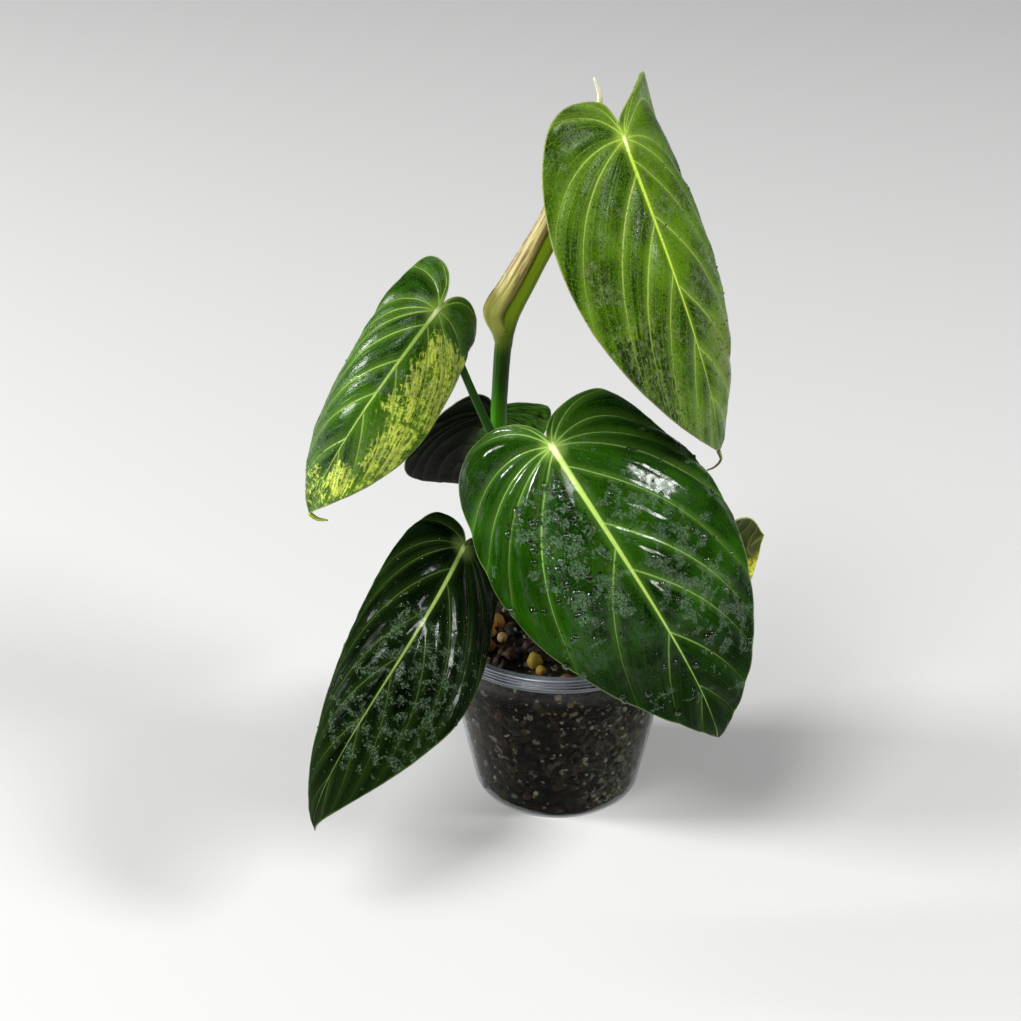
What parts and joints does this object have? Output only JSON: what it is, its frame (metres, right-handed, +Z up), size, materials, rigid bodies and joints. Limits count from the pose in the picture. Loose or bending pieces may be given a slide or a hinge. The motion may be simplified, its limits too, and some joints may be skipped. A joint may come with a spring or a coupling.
{
  "type": "potted philodendron plant",
  "caption": "Young philodendron with large heart-shaped leaves on one upright stem, in a clear round nursery pot filled with soil.",
  "frame": {"origin": "centre of the pot's flat base, on the surface that the plant stands on", "axes": "+Z up along the pot's axis, -Y towards the viewer of the picture, +X to the viewer's right"},
  "size_m": [0.1796, 0.1823, 0.2921],
  "materials": {
    "clear_plastic": "gloss",
    "soil_mix": "matte",
    "stem_green": "satin",
    "leaf_light": "satin",
    "leaf_marbled": "satin",
    "leaf_dark": "gloss",
    "leaf_mottled": "gloss",
    "leaf_back": "satin",
    "leaf_young": "satin",
    "dry_sheath": "matte"
  },
  "bodies": {
    "root": {"pot": "clear_plastic", "soil": "soil_mix", "stem": "stem_green", "leaf_a": "leaf_light", "leaf_b": "leaf_marbled", "leaf_c": "leaf_dark", "leaf_d": "leaf_mottled", "leaf_e": "leaf_back", "leaf_f": "leaf_young", "petiole_a": "stem_green", "petiole_b": "stem_green", "petiole_c": "stem_green", "petiole_d": "stem_green", "petiole_e": "stem_green", "petiole_f": "stem_green", "sheath": "dry_sheath"}
  },
  "joints": []
}
